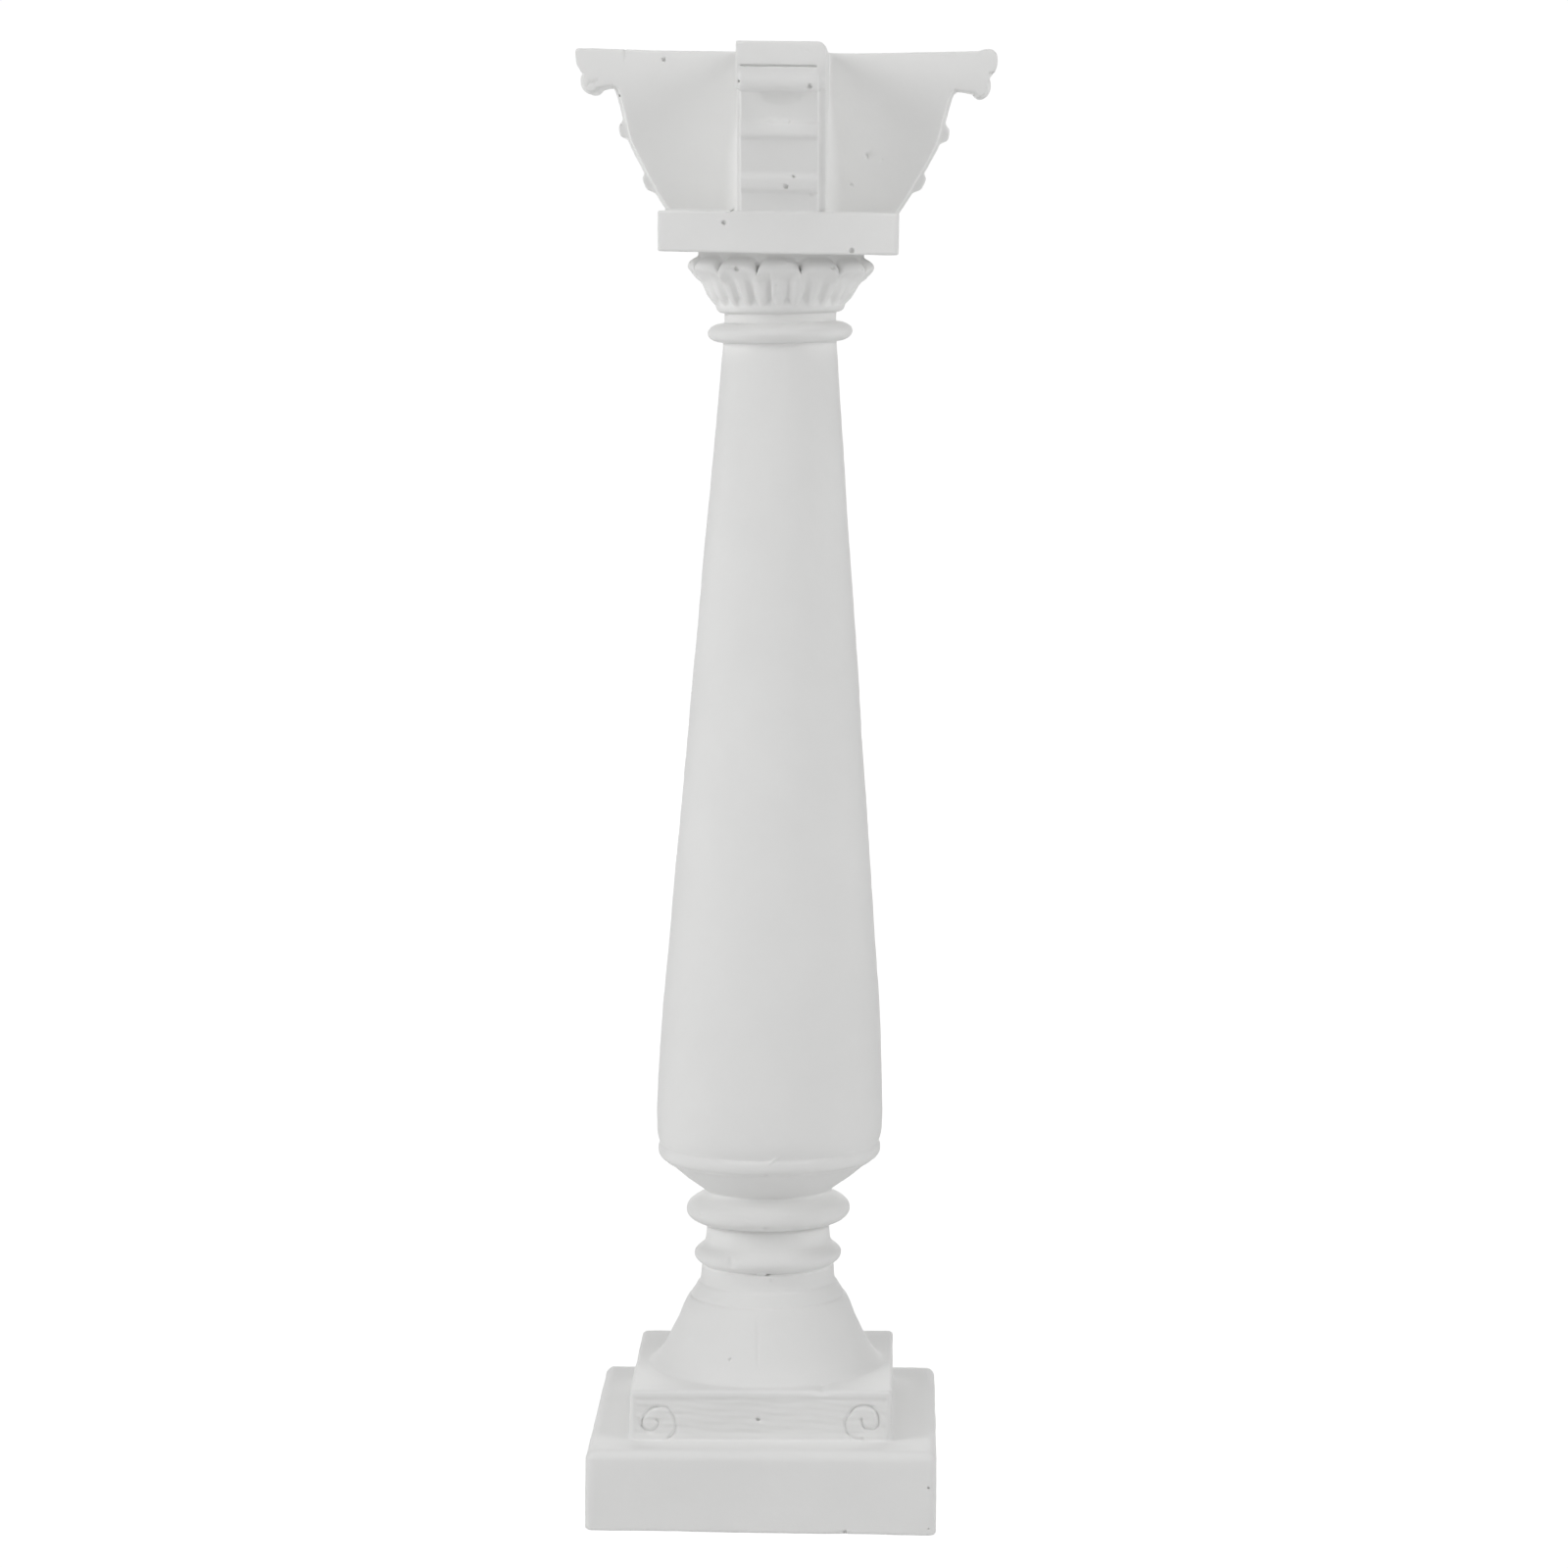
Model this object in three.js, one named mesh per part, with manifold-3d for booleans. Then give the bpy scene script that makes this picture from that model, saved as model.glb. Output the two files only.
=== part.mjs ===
// A small plaster column, cast in one piece: plinth, square scroll block, bell foot, turned
// mouldings, tapering shaft, ring of leaves, capital block and four crossed scroll arms.
// Millimetres, +Z up, origin at the middle of the underside, front towards -Y.

import * as THREE from 'three';
import { mergeVertices } from 'three/addons/utils/BufferGeometryUtils.js';
import Module from 'manifold-3d';

const wasm = await Module();
wasm.setup();

// Driving dimensions.
const HEIGHT = 200;
const PLINTH = { side: 47.6, height: 11.7, edge: 1.2 };
const SCROLL_BLOCK = { side: 36, height: 6.6, edge: 0.6 };
const CAPITAL_BLOCK = { side: 32, height: 5.5, edge: 0.7, top: 178 };

// Turned body from the foot up. Each outline is a list of [radius, height] pairs.
const BELL = { footRadius: 16.1, outline: [[14.4, 20.6], [12.9, 23.5], [10.6, 28.2]] };
const BELL_BEAD = { radius: 10.1, z: 29 };
const LOW_NECK = { radius: 9.2, flare: 0.25, bottom: 29.7, top: 32.2 };
const LOW_TORUS = { bulge: 1.1, top: 35.2 };
const MID_NECK = { radius: 8.6, top: 37.6 };
const HIGH_TORUS = { bulge: 2.75, top: 42.3 };
const BOWL = { neckRadius: 9.1, neckTop: 42.7, outline: [[11.8, 45], [15, 47.4]] };
const BAND = { radius: 15.45, bottom: 48.6, top: 49.4, grooveRadius: 15.15, grooveZ: 49.9 };
const SHAFT = { footRadius: 15.67, footZ: 54, taper: 0.0797, topRadius: 7.7, topZ: 160.5, easeZ: 72 };
const RING = { bulge: 2.22, top: 163 };
const HIGH_NECK = { radius: 7.55, top: 164.1 };
const CORE = { radius: 11.3, outline: [[7.9, 164.5], [10, 168], [10.7, 170.5], [11.3, 171.4]] };

// Leaves under the capital block, standing shoulder to shoulder and curling out at the top.
const LEAVES = {
  count: 13,
  gapDepth: 1.1,
  gapGrowsTo: 170,
  outline: [[8.5, 164.6], [9.3, 165.8], [10.2, 167.1], [10.7, 168.3], [11.3, 169.1], [12.5, 169.8],
    [12.75, 170.4], [12.2, 171.1], [11.2, 171.6]],
};

// Capital arms: plates set crosswise. Each carries a narrower, slightly proud ribbon with two rolls.
const ARM = { reach: 28.6, thickness: 11.6, dish: 0.7, dishFlat: 8 };
const TIP = { length: 3, height: 3.1, proud: 0.65, corner: 0.7 };
const SCROLL = { radius: 1.6, bottom: 193.7, turnDegrees: 140 };
const SOFFIT = { z: 194.7, innerReach: 22.9, corner: 0.5 };
const BELLY = { topReach: 22.45, bottomReach: 15.85, topZ: 192.9, slopeAtTop: 0.166, rootInset: 1 };
const RIBBON = { width: 9.6, proud: 0.5 };
const ROLL = { heights: [188.6, 181.65], halfHeight: 1.15, proud: 0.8 };

// How finely round stretches are divided.
const TURNED_FACETS = 48;
const FACETS_PER_LEAF = 7;
const STEPS = {
  blockEdge: 3, bell: 9, torus: 8, bowl: 6, shaftFoot: 4, tipCorner: 3, scroll: 7, belly: 8, rolls: 24,
};

// Vertices closer than this are one vertex.
const MERGE_DISTANCE = 1e-4;

// Turns a closed geometry into a solid that can be joined to others.
function solid(geometry) {
  const bare = geometry.clone();
  bare.deleteAttribute('normal');
  bare.deleteAttribute('uv');
  const merged = mergeVertices(bare, MERGE_DISTANCE);
  const index = merged.getIndex().array;
  const triangles = [];
  for (let i = 0; i < index.length; i += 3) {
    const [a, b, c] = index.slice(i, i + 3);
    if (a !== b && b !== c && c !== a) triangles.push(a, b, c);
  }
  return new wasm.Manifold(new wasm.Mesh({
    numProp: 3,
    vertProperties: new Float32Array(merged.getAttribute('position').array),
    triVerts: new Uint32Array(triangles),
  }));
}

// Turns a joined solid back into a geometry.
function geometryOf(body) {
  const mesh = body.getMesh();
  const geometry = new THREE.BufferGeometry();
  geometry.setAttribute('position', new THREE.BufferAttribute(mesh.vertProperties, 3));
  geometry.setIndex(new THREE.BufferAttribute(mesh.triVerts, 1));
  return geometry;
}

// A square block with softened edges, standing from one height to another.
function block({ side, edge }, bottom, top) {
  const half = side / 2 - edge;
  const outline = new THREE.Shape()
    .moveTo(-half, -half)
    .lineTo(half, -half)
    .lineTo(half, half)
    .lineTo(-half, half)
    .closePath();
  const geometry = new THREE.ExtrudeGeometry(outline, {
    depth: top - bottom - 2 * edge,
    bevelThickness: edge,
    bevelSize: edge,
    bevelSegments: STEPS.blockEdge,
  });
  geometry.translate(0, 0, bottom + edge);
  return solid(geometry);
}

// The outline of the turned body, built up moulding by moulding.
class Profile {
  constructor(radius, z) {
    this.points = [new THREE.Vector2(0, z), new THREE.Vector2(radius, z)];
  }

  to(radius, z) {
    this.points.push(new THREE.Vector2(radius, z));
    return this;
  }

  // A half-round moulding that stands out by `bulge` on the radius before it.
  torus(bulge, top, radiusAbove) {
    const start = this.points.at(-1);
    const middle = (start.y + top) / 2;
    const round = new THREE.EllipseCurve(start.x, middle, bulge, middle - start.y, -Math.PI / 2, Math.PI / 2);
    for (const point of round.getPoints(STEPS.torus).slice(1, -1)) this.points.push(point);
    return this.to(radiusAbove, top);
  }

  // A smooth curve through the given points.
  through(pairs, steps) {
    const start = this.points.at(-1);
    const curve = new THREE.SplineCurve([start, ...pairs.map(([r, z]) => new THREE.Vector2(r, z))]);
    this.points.push(...curve.getPoints(steps).slice(1));
    return this;
  }

  close() {
    return this.to(0, this.points.at(-1).y).points;
  }
}

// Radius of the shaft: a straight taper that eases to upright near the foot.
function shaftRadius(z) {
  const straight = SHAFT.topRadius + SHAFT.taper * (SHAFT.topZ - z);
  if (z >= SHAFT.easeZ) return straight;
  const straightAtFoot = SHAFT.topRadius + SHAFT.taper * (SHAFT.topZ - SHAFT.footZ);
  const ease = (straightAtFoot - SHAFT.footRadius) / (SHAFT.easeZ - SHAFT.footZ) ** 2;
  return straight - ease * (SHAFT.easeZ - z) ** 2;
}

// The body that is round all the way: bell foot, necks, mouldings, bowl, shaft, ring and core.
function turnedBody() {
  const profile = new Profile(BELL.footRadius, PLINTH.height + SCROLL_BLOCK.height / 2)
    .to(BELL.footRadius, PLINTH.height + SCROLL_BLOCK.height)
    .through(BELL.outline, STEPS.bell)
    .to(BELL_BEAD.radius, BELL_BEAD.z)
    .to(LOW_NECK.radius + LOW_NECK.flare, LOW_NECK.bottom)
    .to(LOW_NECK.radius, LOW_NECK.top)
    .torus(LOW_TORUS.bulge, LOW_TORUS.top, MID_NECK.radius)
    .to(MID_NECK.radius, MID_NECK.top)
    .torus(HIGH_TORUS.bulge, HIGH_TORUS.top, BOWL.neckRadius)
    .to(BOWL.neckRadius, BOWL.neckTop)
    .through([...BOWL.outline, [BAND.radius, BAND.bottom]], STEPS.bowl)
    .to(BAND.radius, BAND.top)
    .to(BAND.grooveRadius, BAND.grooveZ)
    .to(BAND.radius, 2 * BAND.grooveZ - BAND.top);
  for (let i = 0; i <= STEPS.shaftFoot; i += 1) {
    const z = THREE.MathUtils.lerp(SHAFT.footZ, SHAFT.easeZ, i / STEPS.shaftFoot);
    profile.to(shaftRadius(z), z);
  }
  profile
    .to(SHAFT.topRadius, SHAFT.topZ)
    .torus(RING.bulge, RING.top, HIGH_NECK.radius)
    .to(HIGH_NECK.radius, HIGH_NECK.top);
  for (const [radius, z] of CORE.outline) profile.to(radius, z);
  profile.to(CORE.radius, CAPITAL_BLOCK.top - CAPITAL_BLOCK.height / 2);
  const geometry = new THREE.LatheGeometry(profile.close(), TURNED_FACETS);
  geometry.rotateX(Math.PI / 2);
  return solid(geometry);
}

// The ring of leaves: a turned outline whose radius is notched between each two leaves, deeper
// towards the lip.
function leafRing() {
  const outline = LEAVES.outline.map(([radius, z]) => new THREE.Vector2(radius, z));
  const bottom = outline[0].y;
  const axisPoints = [bottom, outline.at(-1).y].map((z) => new THREE.Vector2(0, z));
  const geometry = new THREE.LatheGeometry(
    [axisPoints[0], ...outline, axisPoints[1]],
    LEAVES.count * FACETS_PER_LEAF,
  );
  geometry.rotateX(Math.PI / 2);
  const position = geometry.getAttribute('position');
  const place = new THREE.Vector3();
  for (let i = 0; i < position.count; i += 1) {
    place.fromBufferAttribute(position, i);
    const radius = Math.hypot(place.x, place.y);
    if (radius === 0) continue;
    const angleFromFront = Math.atan2(place.x, -place.y);
    const nearGap = Math.sin((angleFromFront * LEAVES.count) / 2) ** 4;
    const depth = LEAVES.gapDepth * THREE.MathUtils.smoothstep(place.z, bottom, LEAVES.gapGrowsTo);
    const narrowed = 1 - (depth * nearGap) / radius;
    position.setXY(i, place.x * narrowed, place.y * narrowed);
  }
  return solid(geometry);
}

// Reach of the belly of an arm at a height: it draws in, faster and faster, to the capital block.
function bellyReach(z) {
  const drop = BELLY.topZ - z;
  const fullDrop = BELLY.topZ - CAPITAL_BLOCK.top;
  const fullFall = BELLY.topReach - BELLY.bottomReach;
  const curve = (fullFall - BELLY.slopeAtTop * fullDrop) / fullDrop ** 2;
  return BELLY.topReach - BELLY.slopeAtTop * drop - curve * drop ** 2;
}

// How far the two rolls stand out of the ribbon at a height.
function rollProud(z) {
  const round = Math.max(...ROLL.heights.map((middle) => 1 - ((z - middle) / ROLL.halfHeight) ** 2), 0);
  return ROLL.proud * Math.sqrt(round);
}

// Half of an arm outline, as [reach, height] pairs: from the dished top, round the tip and its
// scroll, along the soffit and down the belly to the capital block.
function armEdge(inset, rolled) {
  const points = [];
  const add = (reach, z) => points.push([reach, z]);
  const arc = (reach, z, radius, fromDegrees, toDegrees, steps) => {
    for (let i = 0; i <= steps; i += 1) {
      const angle = THREE.MathUtils.degToRad(THREE.MathUtils.lerp(fromDegrees, toDegrees, i / steps));
      add(reach + radius * Math.cos(angle), z + radius * Math.sin(angle));
    }
  };
  const tipBottom = HEIGHT - TIP.height;
  const scrollReach = ARM.reach - TIP.proud - SCROLL.radius;
  const cornerReach = SOFFIT.innerReach - inset;
  add(ARM.dishFlat, HEIGHT - ARM.dish);
  add(ARM.reach - TIP.length, HEIGHT);
  arc(ARM.reach - TIP.corner, HEIGHT - TIP.corner, TIP.corner, 90, 0, STEPS.tipCorner);
  add(ARM.reach, tipBottom + TIP.proud / 3);
  add(ARM.reach - TIP.proud, tipBottom);
  arc(scrollReach, SCROLL.bottom + SCROLL.radius, SCROLL.radius, 0, -SCROLL.turnDegrees, STEPS.scroll);
  add(cornerReach + SOFFIT.corner, SOFFIT.z);
  add(cornerReach, SOFFIT.z - SOFFIT.corner);
  const steps = rolled ? STEPS.rolls : STEPS.belly;
  for (let i = 0; i <= steps; i += 1) {
    const z = THREE.MathUtils.lerp(BELLY.topZ, CAPITAL_BLOCK.top, i / steps);
    add(bellyReach(z) - inset + (rolled ? rollProud(z) : 0), z);
  }
  add(BELLY.bottomReach - inset - BELLY.rootInset, CAPITAL_BLOCK.top - CAPITAL_BLOCK.height / 2);
  return points;
}

// Two opposite arms as one plate of a given thickness, lying along X.
function armPair(thickness, inset, rolled) {
  const edge = armEdge(inset, rolled);
  const outline = new THREE.Shape([
    ...edge.map(([reach, z]) => new THREE.Vector2(reach, z)),
    ...edge.reverse().map(([reach, z]) => new THREE.Vector2(-reach, z)),
  ]);
  const geometry = new THREE.ExtrudeGeometry(outline, { depth: thickness, bevelEnabled: false });
  geometry.translate(0, 0, -thickness / 2);
  geometry.rotateX(Math.PI / 2);
  return geometry;
}

// The four arms: two crossed plates with their ribbons.
function arms() {
  const plate = armPair(ARM.thickness, RIBBON.proud, false);
  const ribbon = armPair(RIBBON.width, 0, true);
  const along = solid(plate).add(solid(ribbon));
  const across = solid(plate.rotateZ(Math.PI / 2)).add(solid(ribbon.rotateZ(Math.PI / 2)));
  return along.add(across);
}

const plaster = new THREE.MeshStandardMaterial({
  name: 'plaster',
  color: '#d9d8d4',
  roughness: 0.85,
  metalness: 0,
});

const scrollBlockTop = PLINTH.height + SCROLL_BLOCK.height;
const casting = block(PLINTH, 0, PLINTH.height)
  .add(block(SCROLL_BLOCK, PLINTH.height - 2 * SCROLL_BLOCK.edge, scrollBlockTop))
  .add(turnedBody())
  .add(leafRing())
  .add(block(CAPITAL_BLOCK, CAPITAL_BLOCK.top - CAPITAL_BLOCK.height, CAPITAL_BLOCK.top))
  .add(arms());

const column = new THREE.Mesh(geometryOf(casting), plaster);
column.name = 'column';

const model = new THREE.Group();
model.add(column);

export default model;
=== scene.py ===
"""A small plaster column ornament, cast in one piece.

The casting is described as a solid by distance: every block, moulding, leaf and arm says how far any
point lies from its surface, in millimetres. Joined softly, they have the small fillets and blunt
edges that plaster takes from a rubber mould. The surface is then meshed, thinned to a modest number
of triangles and drawn back onto the exact shape.

The frame is the part's own: +Z up, the front towards -Y, the origin in the middle of the underside.
"""
from __future__ import annotations

import logging
import math
from dataclasses import dataclass, field
from enum import Enum
from functools import cached_property

import bpy
import numpy as np
import openvdb
from mathutils import Matrix, Vector


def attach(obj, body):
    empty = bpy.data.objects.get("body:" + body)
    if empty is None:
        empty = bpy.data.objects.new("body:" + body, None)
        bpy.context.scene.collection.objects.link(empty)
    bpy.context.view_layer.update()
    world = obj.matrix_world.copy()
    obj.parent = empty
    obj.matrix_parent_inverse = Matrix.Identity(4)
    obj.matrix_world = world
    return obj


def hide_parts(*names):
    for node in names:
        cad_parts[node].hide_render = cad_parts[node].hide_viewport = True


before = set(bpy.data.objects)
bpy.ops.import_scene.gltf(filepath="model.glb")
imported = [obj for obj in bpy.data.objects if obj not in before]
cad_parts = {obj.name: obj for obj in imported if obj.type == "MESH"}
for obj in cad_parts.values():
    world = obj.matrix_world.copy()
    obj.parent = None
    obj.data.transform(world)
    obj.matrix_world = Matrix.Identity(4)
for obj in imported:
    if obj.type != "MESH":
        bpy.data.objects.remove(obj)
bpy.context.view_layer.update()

logging.basicConfig(level=logging.INFO, format="%(message)s")
LOG = logging.getLogger("plaster_column")

Array = np.ndarray
Point2 = tuple[float, float]

# Shapes are in millimetres, and MM turns them into the frame's metres.
MM = 0.001
HEIGHT = 200.0
# A member counts only up to this distance from its surface.
FAR = 3.0
SEED = 11
FINE_PITCH = 0.17
PHOTO_WIDTH_PX = 1600
SENSOR_MM = 36.0
WHITE = (1.0, 1.0, 1.0, 1.0)


class Side(Enum):
    """A side of the column."""

    FRONT = 0
    RIGHT = 1
    BACK = 2
    LEFT = 3


def smooth_union(a: Array, b: Array, radius: float) -> Array:
    """Joins two distances with a fillet.

    Args:
        a, b: distances from the two surfaces.
        radius: size of the fillet.

    Returns:
        The distance from the joined surface.
    """
    near = np.maximum(radius - np.abs(a - b), 0.0)
    return np.minimum(a, b) - near * near / (4.0 * radius)


def smooth_cut(a: Array, b: Array, radius: float) -> Array:
    """Keeps what is inside both distances, with a blunt edge; the values are smooth_union's."""
    return -smooth_union(-a, -b, radius)


def round_edge(a: Array, b: Array, radius: float) -> Array:
    """Keeps what is inside both of two faces that meet at right angles, with a round edge.

    Args:
        a, b: distances from the two faces.
        radius: radius of the edge.

    Returns:
        The distance from the rounded corner.
    """
    over_a = a + radius
    over_b = b + radius
    outside = np.hypot(np.maximum(over_a, 0.0), np.maximum(over_b, 0.0))
    return outside + np.minimum(np.maximum(over_a, over_b), 0.0) - radius


def ramp(value: Array, start: float, end: float) -> Array:
    """Rises smoothly from 0 at start to 1 at end.

    Args:
        value: where to read the ramp.
        start, end: values with result 0 and 1.

    Returns:
        Numbers from 0 to 1.
    """
    t = np.clip((value - start) / (end - start), 0.0, 1.0)
    return t * t * (3.0 - 2.0 * t)


def spline(points: list[Point2], steps: int) -> list[Point2]:
    """A smooth curve through points.

    Args:
        points: the points, in order.
        steps: number of pieces between each two points.

    Returns:
        The points of the curve, the first one left out.
    """
    padded = [points[0], *points, points[-1]]
    curve = []
    for p0, p1, p2, p3 in zip(padded, padded[1:], padded[2:], padded[3:]):
        for i in range(1, steps + 1):
            t = i / steps
            curve.append(tuple(
                0.5 * (2 * b + (c - a) * t + (2 * a - 5 * b + 4 * c - d) * t ** 2
                       + (3 * b - a - 3 * c + d) * t ** 3)
                for a, b, c, d in zip(p0, p1, p2, p3)
            ))
    return curve


def arc(centre: Point2, radius: Point2, start: float, end: float, steps: int) -> list[Point2]:
    """Part of an ellipse.

    Args:
        centre: middle of the ellipse.
        radius: half of its width and half of its height.
        start, end: angles of the first and last point, in degrees.
        steps: number of pieces.

    Returns:
        The points of the arc.
    """
    angles = np.radians(np.linspace(start, end, steps + 1))
    (x, y), (wide, high) = centre, radius
    return [(x + wide * math.cos(t), y + high * math.sin(t)) for t in angles]


class Plot:
    """Distance to a line drawn in a plane, worked out once on a fine grid and then looked up."""

    STEP = 0.08
    TINY = 1e-12

    def __init__(self, points: list[Point2], closed: bool = True) -> None:
        """Works out the table.

        Args:
            points: corners of the line.
            closed: whether it is an outline, with negative distances inside.
        """
        corners = np.array(points, float)
        self.low = corners.min(0) - FAR
        size = np.ceil((corners.max(0) + FAR - self.low) / self.STEP).astype(int) + 2
        u = self.low[0] + self.STEP * np.arange(size[0])
        v = self.low[1] + self.STEP * np.arange(size[1])
        table = np.full(size, FAR)
        inside = np.zeros(size, bool)
        ends = np.roll(corners, -1, 0)
        for a, b in list(zip(corners, ends))[: None if closed else -1]:
            first = np.maximum(((np.minimum(a, b) - FAR - self.low) / self.STEP).astype(int), 0)
            last = ((np.maximum(a, b) + FAR - self.low) / self.STEP).astype(int) + 1
            window = (slice(first[0], last[0]), slice(first[1], last[1]))
            du = u[window[0], None] - a[0]
            dv = v[None, window[1]] - a[1]
            along = b - a
            t = np.clip((du * along[0] + dv * along[1]) / max(along @ along, self.TINY), 0.0, 1.0)
            table[window] = np.minimum(table[window], np.hypot(du - t * along[0], dv - t * along[1]))
            rows = (v > min(a[1], b[1])) & (v <= max(a[1], b[1]))
            if closed and rows.any():
                crossing = a[0] + (v[rows] - a[1]) * along[0] / along[1]
                inside[:, rows] ^= u[:, None] < crossing[None, :]
        self.table = np.where(inside, -table, table).astype(np.float32)

    def distance(self, u: Array, v: Array) -> Array:
        """Looks the distance up.

        Args:
            u, v: coordinates of the points.

        Returns:
            The distances there.
        """
        table = self.table
        # Stopping just short of the last row and column keeps i0 + 1 and j0 + 1 in the table.
        last_i, last_j = (size - 1.001 for size in table.shape)
        i = np.clip((u - self.low[0]) / self.STEP, 0.0, last_i)
        j = np.clip((v - self.low[1]) / self.STEP, 0.0, last_j)
        i0 = i.astype(np.int32)
        j0 = j.astype(np.int32)
        fi = (i - i0).astype(np.float32)
        fj = (j - j0).astype(np.float32)
        near = table[i0, j0] * (1 - fi) + table[i0 + 1, j0] * fi
        return near * (1 - fj) + (table[i0, j0 + 1] * (1 - fi) + table[i0 + 1, j0 + 1] * fi) * fj


@dataclass(frozen=True)
class Unevenness:
    """Gentle waves over the whole surface, as a sum of a few plane waves.

    Attributes:
        height: size of the waves.
        length: distance between two crests.
        waves: number of plane waves.
        seed: seed of their directions.
    """

    height: float
    length: float
    waves: int = 7
    seed: int = SEED

    SPREAD = (0.7, 1.4)

    def at(self, x: Array, y: Array, z: Array) -> Array:
        """Height of the waves.

        Args:
            x, y, z: coordinates of the points.

        Returns:
            The heights of the waves there.
        """
        random = np.random.default_rng(self.seed)
        total = np.zeros_like(x)
        for _ in range(self.waves):
            direction = random.normal(size=3)
            length = self.length * random.uniform(*self.SPREAD) * np.linalg.norm(direction)
            direction *= 2 * math.pi / length
            shift = random.uniform(0, 2 * math.pi)
            a, b, c = (np.float32(k) for k in direction)
            total += np.sin(x * a + y * b + z * c + np.float32(shift))
        return total * np.float32(self.height / math.sqrt(self.waves))


@dataclass(frozen=True)
class SquareBlock:
    """A square block with round edges.

    Attributes:
        side: width of the square.
        bottom, top: heights of the underside and the top.
        edge: radius of the upper edges.
        corner: radius of the four upright edges.
        fillet: size of the soft joint to what is below.
        offset: how far the block sits to the right of the axis.
        foot_edge: radius of the lower edges.
    """

    side: float
    bottom: float
    top: float
    edge: float
    corner: float
    fillet: float = 0.6
    offset: float = 0.0
    foot_edge: float = 0.3

    def distance(self, x: Array, y: Array, z: Array) -> Array:
        """Distance from the block's surface.

        Args:
            x, y, z: coordinates of the points.

        Returns:
            The distances, negative inside.
        """
        plan = round_edge(np.abs(x - self.offset) - self.side / 2, np.abs(y) - self.side / 2, self.corner)
        middle = (self.bottom + self.top) / 2
        rise = np.abs(z - middle) - (self.top - self.bottom) / 2
        return round_edge(plan, rise, np.where(z > middle, self.edge, self.foot_edge))


@dataclass(frozen=True)
class ScrollBlock(SquareBlock):
    """The block between plinth and bell. Each side has a rough panel and two incised scrolls.

    Attributes:
        groove_depth, groove_width: size of the incised line.
        panel_depth: how deep the rough panel lies.
        streak_height: height of the streaks on it.
        panel_ends: distances from the middle between which it dies out.
        panel_foot, panel_top: heights between which it sets in and ends.
        skin: distances from the face between which the relief sets in.
    """

    groove_depth: float = 0.38
    groove_width: float = 0.5
    panel_depth: float = 0.14
    streak_height: float = 0.05
    panel_ends: Point2 = (17.4, 16.9)
    panel_foot: Point2 = (12.0, 12.5)
    panel_top: Point2 = (17.5, 17.0)
    skin: Point2 = (-1.2, -0.5)

    # The tool's mean pressure, how far it wavers, and how many half-widths out its line ends.
    PRESSURE = 0.8
    WAVER = 0.25
    LINE_END = 1.15

    @cached_property
    def plots(self) -> tuple[Plot, ...]:
        """Plots the lines of the two scrolls.

        Returns:
            The left and the right one.
        """
        left = [
            (-12.7, 11.87), (-12.04, 12.43), (-11.85, 13.26), (-12.06, 14.35), (-12.6, 15.3),
            (-13.15, 15.84), (-14.22, 16.03), (-15.29, 15.74), (-16.08, 14.8), (-16.5, 14.0),
            (-16.42, 13.19), (-15.79, 12.72), (-14.99, 12.66), (-14.46, 13.08), (-14.2, 13.77),
            (-14.47, 14.18),
        ]
        right = [
            (13.67, 11.7), (12.87, 11.78), (12.06, 12.06), (11.52, 12.66), (11.3, 13.48), (11.36, 14.17),
            (11.88, 15.13), (12.67, 15.97), (13.74, 16.22), (14.81, 16.07), (15.48, 15.46), (15.83, 14.65),
            (15.85, 13.69), (15.39, 12.93), (14.72, 12.85), (14.05, 13.05), (13.64, 13.66), (13.5, 14.34),
        ]
        return tuple(Plot([line[0], *spline(line, 4)], closed=False) for line in (left, right))

    def distance(self, x: Array, y: Array, z: Array) -> Array:
        """Distance from the block's surface, with its relief.

        Args:
            x, y, z: coordinates of the points.

        Returns:
            The distances, negative inside.
        """
        plain = super().distance(x, y, z)
        facing_y = np.abs(y) > np.abs(x - self.offset)
        along = np.where(facing_y, np.where(y < 0, x, -x), np.where(x > 0, y, -y))
        outward = np.maximum(np.abs(x - self.offset), np.abs(y)) - self.side / 2
        on_face = ramp(outward, *self.skin)
        panel = ramp(np.abs(along - self.offset), *self.panel_ends)
        panel = panel * ramp(z, *self.panel_foot) * ramp(z, *self.panel_top)
        # The streaks lie about 1.2 mm apart, wander up and down and fade in and out.
        streaks = np.sin(z * 5.2 + 0.9 * np.sin(along * 0.7)) * np.sin(along * 0.45 + z * 1.7)
        relief = panel * (self.panel_depth + self.streak_height * streaks)
        uneven = self.PRESSURE + self.WAVER * np.sin(along * 2.1 + z * 1.3)
        for plot in self.plots:
            away = plot.distance(along, z) / (self.groove_width / 2)
            relief = relief + self.groove_depth * uneven * np.clip(self.LINE_END - away, 0.0, 1.0)
        return plain + on_face * relief


class Profile:
    """The outline of a turned body as (radius, height) points, built up from the foot."""

    def __init__(self, radius: float, z: float) -> None:
        """Starts behind the axis, so that the axis itself is inside."""
        self.points: list[Point2] = [(-FAR, z), (radius, z)]

    def to(self, radius: float, z: float) -> Profile:
        """Adds a straight stretch."""
        self.points.append((radius, z))
        return self

    def through(self, points: list[Point2], steps: int = 8) -> Profile:
        """Adds a smooth stretch through points."""
        self.points += spline([self.points[-1], *points], steps)
        return self


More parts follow.
